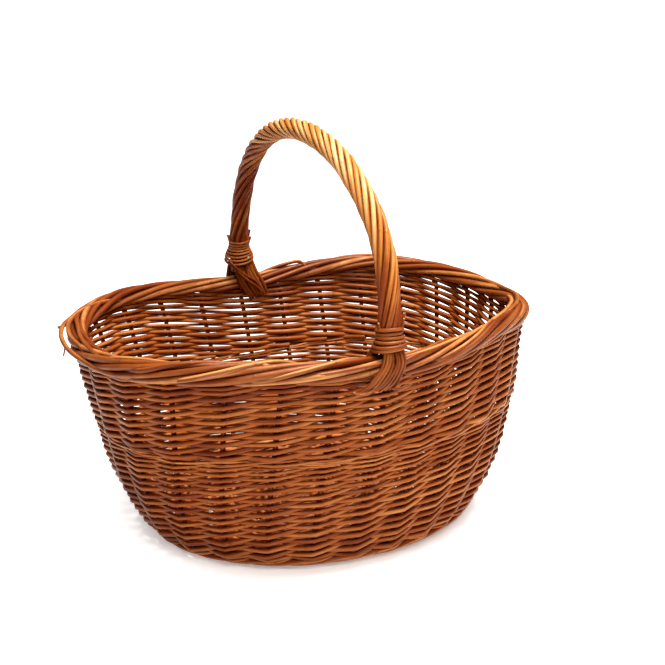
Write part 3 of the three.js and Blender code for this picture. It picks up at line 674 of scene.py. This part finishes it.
makeSiding("lowerSiding", lowerSiding, "siding_willow", "lower_siding")
makeSiding("upperSiding", upperSiding, "siding_willow", "upper_siding")

# Wales: three rods twisted round the stakes.

waleLook = dict(press=0.98, thickWobble=0.05, toneRange=(0.6, 1.0))


def makeWale(name, wale, nodes):
    # each rod goes before two stakes and behind the third, rising from the lower to the upper line
    rng = np.random.default_rng(wale["seed"])
    stations = int(wale["rounds"] * stakeCount * wale["stations"]) + 1
    strand = np.arange(3)[:, None]
    place = wale["startPlace"] + wale["rounds"] * stakeCount * shares(stations)
    phase = (place + strand) % 3
    low = np.floor(phase).astype(int)
    part = (1 - np.cos(np.pi * (phase - low))) / 2
    step = wale["thickness"] * wale["spread"]
    shifts, sidesOf = np.array([-step, step, 0, -step]), np.array([1.0, 1.0, -1.0, 1.0])
    shift, side = (between(steps[low], steps[low + 1], part) for steps in (shifts, sidesOf))
    climb = wale["climb"] * (place - wale["startPlace"]) / stakeCount
    run = wale["firstRun"] + climb + shift + wale["wobble"] * wander(rng, 3, stations, 12)
    radius = wale["thickness"] / 2 * (1 + waleLook["thickWobble"] * wander(rng, 3, stations, 8))
    point, out = stakeFrame(place, run)
    path = passing(point, out, side, shape["stakeRadius"], radius, waleLook["press"])
    tone = rng.uniform(*waleLook["toneRange"], 3)
    makePiece(name, "siding_willow", nodes, [(path, out, radius, wale["sides"], tone)])


middleWale = dict(rounds=1, startPlace=17.0, firstRun=111.0, climb=1.0, thickness=2.4, spread=0.7,
                  wobble=0.8, stations=8, sides=8, seed=21)

makeWale("middleWale", middleWale, numbered("middle_wale", 3))
makeWale("footWale", footWale, numbered("foot_wale", 3))

edgeWeave = dict(singleRods, firstRun=-36.0, lastRun=-13.5, pitch=7.85, thinFrom=0.9, closeUp=0.0, butt=2.2,
                 tip=2.1, borderShadow=0.0, airy=0.0, drift=7.5, uneven=0.06, wobble=0.2, straightness=0.7,
                 parity=0, seed=13)
makeSiding("baseEdgeWeave", edgeWeave, "base_willow", "base_edge_weave")

# Stakes and the rolled border.

# the upright value below darkens the stakes' uprights with painted shade
border = dict(rodRadius=2.95, rollRadius=7.3, coreRadius=2.6, tipRadius=2.1, turnPerGap=55.0,
              startPhase=-90.0, startGap=0.2, phaseSpread=5.0, uprightShade=-0.9, fillerGap=0.35, run=6.0,
              tuck=1.0, coreRun=3.0, thinRun=1.5, uneven=0.07, thickWobble=0.04, loose=0.5,
              looseFrom=(0.3, 1.2), spreadFrom=(0.3, 1.5), stationsPerGap=8, loosePerKey=8, sides=10,
              seed=31)


def rimFrame(angle):
    # middle of the border roll and the level way out of the basket there
    forward = heading(lambda at: polar(at, rimRadius(at), 0.0), angle, angleStep)
    out = np.cross(forward, upward)
    return polar(angle, rimRadius(angle) + swell("pull", angle), borderLevel(angle)), out


def rollPoint(place, gaps, loose, phaseShift):
    # point of the border roll: from outside low, over the top, to the inside
    angle = placeAngle(place)
    centre, out = rimFrame(angle)
    phase = np.radians(border["startPhase"] + border["turnPerGap"] * gaps + phaseShift)
    radius = border["rollRadius"] + swell("roll", angle) + loose
    ringOut = ringWay(out, upward, phase)
    return centre + ringOut * radius[..., None], ringOut


def borderRods(places, firstGap, rng):
    # out and over the roll, then tucked into its heart, where the thin end runs on and fills it
    rods = len(places)
    run, end = border["run"], border["run"] + border["coreRun"]
    stations = int((end - firstGap) * border["stationsPerGap"]) + 1
    gaps = between(firstGap, end, shares(stations))
    tucked = smoothStep(run - border["tuck"] / 2, run + border["tuck"] / 2, gaps)
    loose = border["loose"] * wander(rng, rods, stations, 5) * smoothStep(*border["looseFrom"], gaps)
    loose = between(loose, border["coreRadius"] - border["rollRadius"], tucked)
    phaseShift = border["phaseSpread"] * wander(rng, rods, stations, 3)
    phaseShift = phaseShift * smoothStep(*border["spreadFrom"], gaps)
    point, out = rollPoint(places[:, None] + gaps, gaps, loose, phaseShift)
    thinner = smoothStep(run - border["thinRun"], end, gaps)
    radius = between(border["rodRadius"], border["tipRadius"], thinner)
    radius = radius * (1 + border["uneven"] * rng.normal(0, 1, (rods, 1)).clip(-1.5, 1.5))
    return point, out, radius


# Loose ends: radius and tone, then key points by angle in degrees, away from the middle of the roll
# outwards, and up from it
looseRods = (
    # left end
    (2.3, 0.55, (200, 5, -5), (192, 8, -4), (184, 11, -1), (176, 14, 1), (168, 15, 3), (161, 14, 3),
     (157, 10, 4), (152, 6, 6), (145, 3, 7)),
    (1.5, 0.05, (158, 9, 1), (160, 14, 1), (161, 19, 1)),
    (0.8, 0.0, (172, 13, 1), (172, 14, -4), (173, 16, -9)),
    (2.3, 0.75, (183, 3, 2), (178, 6, 6), (170, 8, 7), (162, 7, 8), (154, 2, 8), (146, -3, 6), (138, -5, 1)),
    (2.2, 0.4, (191, 2, 3), (186, 3, 7), (176, 1, 9), (167, -1, 9.5), (159, 2, 8.5), (152, 6, 6),
     (146, 7, 0)),
    # back
    (2.1, 0.35, (84, 2, 1), (80.5, 2, 6), (76, 1, 9.5), (70.5, 0, 11.5), (67.3, 0, 11), (65.5, -1, 6),
     (64, -2, 1)),
    (1.9, 0.95, (64, 1, -1), (59, 2, 4), (53, 3, 7.5), (46, 3, 8.5), (41, 3, 7.5), (34, 4, 4), (29, 4, 0)),
    # front, from under the border outside, over it and down inside
    (2.3, 0.9, (190, 1, 3), (196, 2, 9), (203, -4, 9), (211, -9, 5), (219, -9, 3), (226, -5, 7), (231, 0, 9),
     (237, 3, 3)),
    (2.3, 0.6, (199, 2, 0), (205, 8, 4), (212, 3, 9), (220, -5, 8.5), (228, -10, 3), (235, -8, -3),
     (239, -3, -5)),
    (2.3, 0.85, (210, 2, -5), (215, 9, -2), (222, 9, 4), (229, 4, 8.5), (236, -4, 9), (242, -9, 4),
     (247, -8, -3), (251, -3, -5)),
    (2.2, 0.7, (228, 2, -5), (233, 8, -3), (240, 9, 3), (248, 5, 8), (255, -2, 9.5), (261, -8, 6),
     (266, -8, -1), (270, -3, -5)),
    (2.0, 0.95, (240, 1, -3), (247, 8, 1), (256, 9, 5), (268, 7, 7.5), (281, 4, 9), (292, 0, 8.5),
     (300, -4, 5), (306, -2, 0)),
    (2.2, 0.5, (257, 2, -5), (263, 8, -3), (269, 9, 4), (277, 5, 8.5), (286, -3, 9), (293, -8, 5),
     (298, -7, -2), (302, -2, -4)),
    (2.1, 0.8, (279, 1, -4), (285, 7, -1), (292, 8, 3), (300, 5, 6.5), (308, -2, 7.5), (314, -7, 4),
     (319, -5, -1), (323, -1, -3)),
    # right end
    (2.3, 0.8, (357, 1, -1), (349, -4, 3), (338, -9, 5), (325, -11, 4), (313, -7, 5), (306, -2, 4),
     (300, 1, 0)),
    (2.2, 0.6, (5, 0, 1), (357, -2, 7), (345, -2, 8.5), (333, -4, 8), (322, -6, 5), (315, -5, 1),
     (310, -1, -1)),
)


def looseRod(radius, tone, *keys):
    # one rod that lies outside the even roll
    angle, outward, up = np.array(keys, float).T
    centre, out = rimFrame(np.radians(angle))
    keys = centre + out * outward[:, None] + upward * up[:, None]
    return smoothPath(keys[None], border["loosePerKey"] * len(keys)), upward, radius, border["sides"], [tone]


# the bridge values carry the uprights' painted shade out into the border rods
stakes = dict(kneeRuns=(-24.0, -12.0, -6.0, 0.0, 6.0), straightRun=12.0, underRim=9.0, straightStations=14,
              bridgeRadius=2.6, bridgeShade=(0.8, 0.5, 0.2), bridgeKeys=13, bridgeUsed=slice(5, 8))


def makeStakes():
    rng = np.random.default_rng(border["seed"])
    places = np.array([place for place in range(stakeCount) if place not in bowPlaces])
    rods = len(places)
    straight = np.linspace(stakes["straightRun"], wallRun - stakes["underRim"], stakes["straightStations"])
    runs = np.concatenate([[-shape["legLength"]], stakes["kneeRuns"], straight])
    point, out = stakeFrame(places[:, None], runs[None, :])
    roll, rollOut, rollRadii = borderRods(places, border["startGap"], rng)
    # the upright runs on into its border rod, and the bend between them is eased
    keys = np.stack([point[:, -2], point[:, -1], roll[:, 0], roll[:, 1]], axis=1)
    bridge = smoothPath(keys, stakes["bridgeKeys"])[:, stakes["bridgeUsed"]]
    blend = np.linspace(0, 1, bridge.shape[1])[None, :, None]
    path = np.concatenate([point, bridge, roll], axis=1)
    outs = np.concatenate([out, unit(between(out[:, -1:], rollOut[:, :1], blend)), rollOut], axis=1)
    radius = np.concatenate([
        np.full(point.shape[:2], shape["stakeRadius"]),
        np.full(bridge.shape[:2], stakes["bridgeRadius"]),
        rollRadii * (1 + border["thickWobble"] * wander(rng, rods, roll.shape[1], 3)),
    ], axis=1)
    fillers, fillerOut, fillerRadii = borderRods(np.array(bowPlaces), border["fillerGap"], rng)
    # painted shade: the uprights, as stakes in shadow between the siding rods, are much darker than the rods
    # of the border
    shaded = np.concatenate([np.ones(point.shape[1]), stakes["bridgeShade"], np.zeros(roll.shape[1])])
    stakeTone, fillerTone = rng.uniform(0, 1, rods), rng.uniform(0, 1, 2)
    nodes = numbered("stake", rods, "%s_%02d") + ["border_filler_front", "border_filler_back"]
    makePiece("stakesAndBorder", "border_willow", nodes, [
        (path, outs, radius, border["sides"], stakeTone, border["uprightShade"] * shaded[None, :]),
        (fillers, fillerOut, fillerRadii, border["sides"], fillerTone),
        *(looseRod(*rod) for rod in looseRods),
    ])


makeStakes()

# Handle.

handle = dict(rise=184.0, fullness=0.79, lean=8.0, skewReach=0.3, bowRadius=5.6, neckRadius=2.4,
              neckHeight=12.0, taper=10.0, legFrom=12.0, underRim=6.0, legStations=16, archMargin=2.0,
              archStations=90, bowSides=12, bowTone=0.3, tangentStep=3.0)
# some rope values below paint a highlight over the bend of the front leg and shade at both feet
rope = dict(strands=9, strandRadius=2.35, radius=7.7, turns=3.5, ease=0.36, start=12.0, endSpread=1.5,
            turnWobble=0.035, taper=0.14, thickWobble=0.03, endShare=0.05, endDip=1.2, liftWobble=0.18,
            stations=220, sides=10, seed=41, pale=0.22, highlightFrom=(0.12, 0.26), highlightTo=(0.48, 0.64),
            frontShade=0.42, frontTo=(0.05, 0.20), backShade=0.50, backFrom=(0.60, 0.84),
            toneRange=(0.35, 0.75))


def archPoint(turn):
    # a raised half oval from the front of the border to the back, leaning a little at the top
    cosine, sine = np.cos(turn), np.maximum(np.sin(turn), 0)
    level = between(rimLevel(frontAngle), rimLevel(backAngle), (1 - cosine) / 2)
    offset = rimRadius(frontAngle) * np.cos(frontAngle) * np.exp(-(turn / handle["skewReach"]) ** 2)
    return np.stack([offset - handle["lean"] * sine ** 2, -shape["rimHalfWidth"] * cosine,
                     level + handle["rise"] * sine ** handle["fullness"]], axis=-1)


archSamples = archPoint(np.linspace(0, np.pi, samples["arch"]))
archLengths = lengthsAlong(archSamples)
archLength = archLengths[-1]


def archAt(length):
    return np.stack([np.interp(length, archLengths, archSamples[:, axis]) for axis in range(3)], axis=-1)


def roundArch(length, radius, turn):
    # point at a radius and a turn round the middle line of the handle, and the way out to it
    tangent = heading(archAt, length, handle["tangentStep"])
    side = unit(lengthwise - tangent[..., :1] * tangent)
    away = ringWay(side, np.cross(side, tangent), turn)
    return archAt(length) + away * np.asarray(radius)[..., None], away


def makeBow():
    # up the wall in one stake place, over the arch and down the wall in the other
    low = np.linspace(handle["legFrom"], wallRun - handle["underRim"], handle["legStations"])
    front, back = (stakeFrame(place, low)[0] for place in bowPlaces)
    middle = np.linspace(handle["archMargin"], archLength - handle["archMargin"], handle["archStations"])
    path = np.concatenate([front, archAt(middle), back[::-1]])[None]
    neck = smoothStep(handle["neckHeight"], handle["neckHeight"] + handle["taper"],
                      np.minimum(middle, archLength - middle))
    leg = np.full(low.shape, shape["stakeRadius"])
    radius = np.concatenate([leg, between(handle["neckRadius"], handle["bowRadius"], neck), leg])[None]
    makePiece("handleBow", "binding_willow", ["handle_bow"],
              [(path, lengthwise, radius, handle["bowSides"], [handle["bowTone"]])])


def makeRope():
    # strands wind round the bow, about twice as fast at the top of the arch as at its feet
    rng = np.random.default_rng(rope["seed"])
    strands, stations = rope["strands"], rope["stations"]
    share = shares(stations)
    eased = share - rope["ease"] * np.sin(fullTurn * share) / fullTurn
    start, end = (rng.uniform(-rope["endSpread"], rope["endSpread"], (strands, 1)) for foot in (0, 1))
    length = between(rope["start"] + start, archLength - rope["start"] + end, share)
    number = np.arange(strands)[:, None]
    turn = fullTurn * (number / strands - rope["turns"] * eased)
    turn = turn + rope["turnWobble"] * wander(rng, strands, stations, 4)
    taper = 1 + rope["taper"] * np.where(number % 2 == 0, 0.5 - share, share - 0.5) * 2
    radius = rope["strandRadius"] * taper * (1 + rope["thickWobble"] * wander(rng, strands, stations, 4))
    ends = smoothStep(0, rope["endShare"], np.minimum(share, 1 - share))
    away = rope["radius"] - rope["endDip"] * (1 - ends)
    away = away + rope["liftWobble"] * wander(rng, strands, stations, 4)
    path, out = roundArch(length, away, turn)
    # painted highlight where the front leg bends over the top, and painted shade darker down at both feet
    lightAndShade = rope["pale"] * smoothStep(*rope["highlightFrom"], share) * (1 - smoothStep(*rope["highlightTo"], share))
    lightAndShade = lightAndShade - rope["frontShade"] * (1 - smoothStep(*rope["frontTo"], share))
    lightAndShade = lightAndShade - rope["backShade"] * smoothStep(*rope["backFrom"], share)
    tone = rng.uniform(*rope["toneRange"], strands)
    makePiece("handleRope", "rope_willow", numbered("handle_rope", 6),
              [(path, out, radius, rope["sides"], tone, lightAndShade)])


makeBow()
makeRope()

# Bindings: heights along the handle from its foot. Short ends stand up above the last turn, each with
# its turn round the handle, its lowest and highest height and its radius.
bindings = {
    "front": dict(fromFront=True, start=15.5, pitch=3.45, turns=6, rodRadius=1.7, narrow=11.0, wide=13.8,
                  tilt=1.5, sag=1.2,
                  ends=((0.35, 33.0, 47.0, 1.5), (0.75, 33.0, 43.0, 1.1), (2.9, 34.0, 40.0, 1.1)), seed=51),
    "back": dict(fromFront=False, start=23.0, pitch=2.95, turns=8, rodRadius=1.4, narrow=10.6, wide=14.2,
                 tilt=0.8, sag=2.6,
                 ends=((3.3, 44.0, 53.0, 1.2), (2.6, 44.0, 50.0, 1.1), (0.1, 44.0, 55.0, 1.2),
                       (5.6, 44.0, 51.0, 1.1)),
                 seed=52),
}
bindingLook = dict(stationsPerTurn=28, sides=8, sagTo=0.5, narrowFrom=0.75, tiltTurn=0.6, heightWobble=0.3,
                   awayWobble=0.35, toneRange=(0.4, 0.7), endSpread=(10.6, 12.6), endStations=6,
                   endTones=(0.2, 0.6))


def makeBinding(name, values):
    # one thin rod wound round the foot of the handle, wider and slacker towards the border
    rng = np.random.default_rng(values["seed"])
    look, turns = bindingLook, values["turns"]
    stations = turns * look["stationsPerTurn"] + 1
    share = shares(stations)
    turn = fullTurn * turns * share
    slack = values["tilt"] + values["sag"] * (1 - smoothStep(0.0, look["sagTo"], share))
    height = values["start"] + values["pitch"] * turns * share + slack * np.sin(turn + look["tiltTurn"])
    height = height + look["heightWobble"] * wander(rng, 1, stations, 12)
    away = between(values["wide"], values["narrow"], smoothStep(0.0, look["narrowFrom"], share))
    away = away + look["awayWobble"] * wander(rng, 1, stations, 11)

    def windRod(heights, radii, turned, radius, toneRange):
        path, out = roundArch(heights if values["fromFront"] else archLength - heights, radii, turned)
        return path, out, radius, look["sides"], rng.uniform(*toneRange, 1)

    rods = [windRod(height, away, turn, values["rodRadius"], look["toneRange"])]
    spread = shares(look["endStations"])
    for side, low, high, radius in values["ends"]:
        rods.append(windRod(between(low, high, spread), between(*look["endSpread"], spread),
                            np.full(spread.shape, side), radius, look["endTones"]))
    makePiece(name + "Binding", "binding_willow", [name + "_binding"], rods)


for sideName, values in bindings.items():
    makeBinding(sideName, values)

# Tails: each row is across the foot of the handle, away from the rim outwards, and up from the rim
tails = {
    "front_outer_tails": (
        dict(count=8, rodRadius=1.45, seed=61,
             first=((-8, 8.5, 17), (-12, 12.3, 6), (-20, 12.4, -3), (-28, 11.0, -11), (-35, 6.0, -17)),
             last=((8, 8.0, 17), (9, 12.4, 6), (6, 12.8, -4), (2, 11.2, -12), (-3, 6.4, -18))),
        dict(count=2, rodRadius=1.3, seed=66,
             first=((-21, 11.8, -14), (-26, 12.8, -15.5), (-31, 13.2, -16), (-36, 12.8, -15.5),
                    (-40, 12.0, -14)),
             last=((-2, 11.8, -15.5), (4, 13.0, -16), (9, 13.4, -15.5), (13, 13.0, -14.5), (17, 12.0, -13))),
    ),
    "front_inner_tails": (
        dict(count=3, rodRadius=2.4, seed=62,
             first=((-9, -6.0, 19), (-13, -10.5, 9), (-16, -12.4, -2), (-17, -9.8, -13), (-16, -6.4, -21)),
             last=((3, -9.0, 19), (0, -12.6, 8), (-2, -13.0, -4), (-3, -9.8, -14), (-3, -6.4, -21))),
    ),
    "back_outer_tails": (
        dict(count=6, rodRadius=2.0, seed=63,
             first=((-7, 8.0, 21), (-8, 11.5, 6), (-10, 11.8, -5), (-12, 10.0, -14), (-13, 6.6, -21)),
             last=((9, 8.0, 21), (9, 11.5, 6), (11, 11.8, -5), (12, 10.0, -14), (13, 6.6, -21))),
    ),
    "back_inner_tails": (
        dict(count=7, rodRadius=1.9, seed=64,
             first=((-9, -8.5, 25), (-7, -11.6, 10), (-3, -11.8, -1), (4, -10.0, -11), (11, -6.8, -19)),
             last=((10, -8.5, 25), (15, -11.6, 10), (21, -11.8, 0), (26, -10.0, -9), (29, -6.8, -15))),
        dict(count=2, rodRadius=1.3, seed=65,
             first=((-15, -6.0, 27), (-9, -12.6, 19), (1, -15.0, 10), (12, -14.6, 1), (20, -12.4, -7)),
             last=((-14, -7.0, 23), (-8, -13.0, 14), (2, -15.2, 5), (13, -14.4, -4), (21, -11.8, -11))),
    ),
}
tailLook = dict(scatter=0.4, stations=28, uneven=0.06, taper=(1.05, 0.9), sides=8, toneRange=(0.0, 0.5))


def tailRods(place, values):
    # a fan of thin rods side by side: key points run evenly from the first rod to the last
    rng = np.random.default_rng(values["seed"])
    count, stations = values["count"], tailLook["stations"]
    angle = frontAngle if place == "front" else backAngle
    share = np.linspace(0, 1, count)[:, None, None]
    first, last = np.array(values["first"], float), np.array(values["last"], float)
    keys = between(first, last, share)
    keys = keys + rng.normal(0, tailLook["scatter"], keys.shape)
    rim, out = rimFrame(np.array(angle))
    rim[2] = rimLevel(angle)
    keys = rim + keys[..., :1] * lengthwise + keys[..., 1:2] * out + keys[..., 2:] * upward
    radius = values["rodRadius"] * (1 + tailLook["uneven"] * rng.normal(0, 1, (count, 1)))
    radius = radius * between(*tailLook["taper"], shares(stations))
    tone = rng.uniform(*tailLook["toneRange"], count)
    return smoothPath(keys, stations), out * np.sign(first[0, 1]), radius, tailLook["sides"], tone


for node, groups in tails.items():
    place, side = node.split("_")[:2]
    fans = [tailRods(place, fan) for fan in groups]
    makePiece(place + side.title() + "Tails", "binding_willow", [node], fans)

# Base.

base = dict(stickRadius=3.0, crossRadius=4.6, longSticks=3, crossSticks=5, longSpacing=6.6,
            crossSpacing=13.0, endGap=1.2, endMargin=7.0, sideMargin=1.0, coreTaper=3.0, longCore=30.0,
            dome=6.0, stickStations=49, splitRange=(10.0, 22.0), stickSides=10, stickTones=(0.3, 0.9),
            weaverRadius=2.2, layerPitch=3.95, firstLayer=0.6, openLayers=0.9, weaverStations=8,
            weaverSides=8, weaverWobble=0.05, press=0.95, weaverTones=(0.3, 0.8), seed=71)
rayCount = 2 * (base["longSticks"] + base["crossSticks"])
coreHalfWidth = base["longSpacing"] * (base["longSticks"] - 1) / 2 + base["stickRadius"] + base["sideMargin"]


def innerRadius(angle):
    return footRadius(angle) - shape["legLength"] - base["endGap"]


def domed(flat):
    # the base rises from its edge to its middle with one minus the square of the way out
    share = np.linalg.norm(flat, axis=-1) / innerRadius(np.arctan2(flat[..., 1], flat[..., 0]))
    return np.concatenate([flat, base["dome"] * (1 - share[..., None] ** 2)], axis=-1)


def rayTip(angle):
    return innerRadius(angle)[..., None] * np.stack([np.cos(angle), np.sin(angle)], -1)


def rayStarts():
    # The sticks leave the split core side by side and spread to sixteen even rays: 0 and 8 point along
    # the basket, 4 and 12 across it.
    halfLength = base["crossSpacing"] * (base["crossSticks"] - 1) / 2 + base["endMargin"]
    side = coreHalfWidth + base["coreTaper"]
    ray = np.arange(rayCount)
    step = np.where(ray > 14, ray - rayCount, ray)
    ways = [np.abs(step) <= 1, step < 7, step <= 9]   # right end, back, left end, and the rest is the front
    across, along = base["crossSpacing"], base["longSpacing"]
    startX = np.select(ways, [halfLength, (4 - step) * across, -halfLength], (step - 12) * across)
    startY = np.select(ways, [step * along, side, (8 - step) * along], -side)
    return np.stack([startX, startY], -1).astype(float)


rayStart, rayEnd = rayStarts(), rayTip(fullTurn * np.arange(rayCount) / rayCount)


def makeStick(kind, order, rayA, rayB, core, radius, rng):
    # out along one ray, over the core and out along the ray that faces it
    legA, legB = ([rayEnd[ray], (rayEnd[ray] + rayStart[ray]) / 2, rayStart[ray]] for ray in (rayA, rayB))
    path = domed(smoothPath(np.concatenate([legA, core, legB[::-1]])[None], base["stickStations"]))
    makePiece("%sBaseStick.%d" % (kind, order + 1), "base_willow", ["%s_base_stick_%d" % (kind, order + 1)],
              [(path, upward, radius(path), base["stickSides"], rng.uniform(*base["stickTones"], 1))])


def splitRadius(path):
    # a cross stick is thicker where it is split, near its middle
    near = np.linalg.norm(path - path[:, path.shape[1] // 2, None], axis=-1)
    split = 1 - smoothStep(*base["splitRange"], near)
    return between(base["stickRadius"], base["crossRadius"], split)


def makeBaseSticks():
    rng = np.random.default_rng(base["seed"])
    for order in range(base["longSticks"]):
        y = (order - 1) * base["longSpacing"]
        core = np.array([[base["longCore"], y], [0.0, y], [-base["longCore"], y]])
        rayA, rayB = (order - 1) % rayCount, 9 - order
        makeStick("long", order, rayA, rayB, core, lambda path: base["stickRadius"], rng)
    for order in range(base["crossSticks"]):
        x = (2 - order) * base["crossSpacing"]
        core = np.array([[x, coreHalfWidth], [x, 0.0], [x, -coreHalfWidth]])
        makeStick("cross", order, 2 + order, 14 - order, core, splitRadius, rng)


def rayPoint(place, share):
    # point of the base at a place counted in rays and a share of the way from core to rim
    low = np.floor(place).astype(int)
    part = (place - low)[..., None]
    start = between(rayStart[low % rayCount], rayStart[(low + 1) % rayCount], part)
    return domed(between(start, rayTip(fullTurn * place / rayCount), share[..., None]))


def makeBaseWeavers():
    # two rods chase each other round the rays, over one and under the next, from the core outwards
    rng = np.random.default_rng(base["seed"] + 1)
    shortest = np.linalg.norm(rayEnd - rayStart, axis=1).min()
    layers = int(shortest / base["layerPitch"])
    rounds = (layers - base["openLayers"]) / 2
    stations = int(rounds * rayCount * base["weaverStations"]) + 1
    for which in range(2):
        run = rounds * rayCount * shares(stations)
        layer = base["firstLayer"] + 2 * rounds * shares(stations)
        point = rayPoint(run + which * rayCount / 2, np.clip(layer / layers, 0, 1))
        side = np.cos(np.pi * (run + which * (rayCount / 2 + 1)))
        radius = base["weaverRadius"] * (1 + base["weaverWobble"] * wander(rng, 1, stations, 20))
        path = passing(point, upward, side, base["stickRadius"], radius, base["press"])
        tone = rng.uniform(*base["weaverTones"], 1)
        makePiece("baseWeaver.%d" % (which + 1), "base_willow", ["base_weaver_%d" % (which + 1)],
                  [(path, upward, radius, base["weaverSides"], tone)])


makeBaseSticks()
makeBaseWeavers()
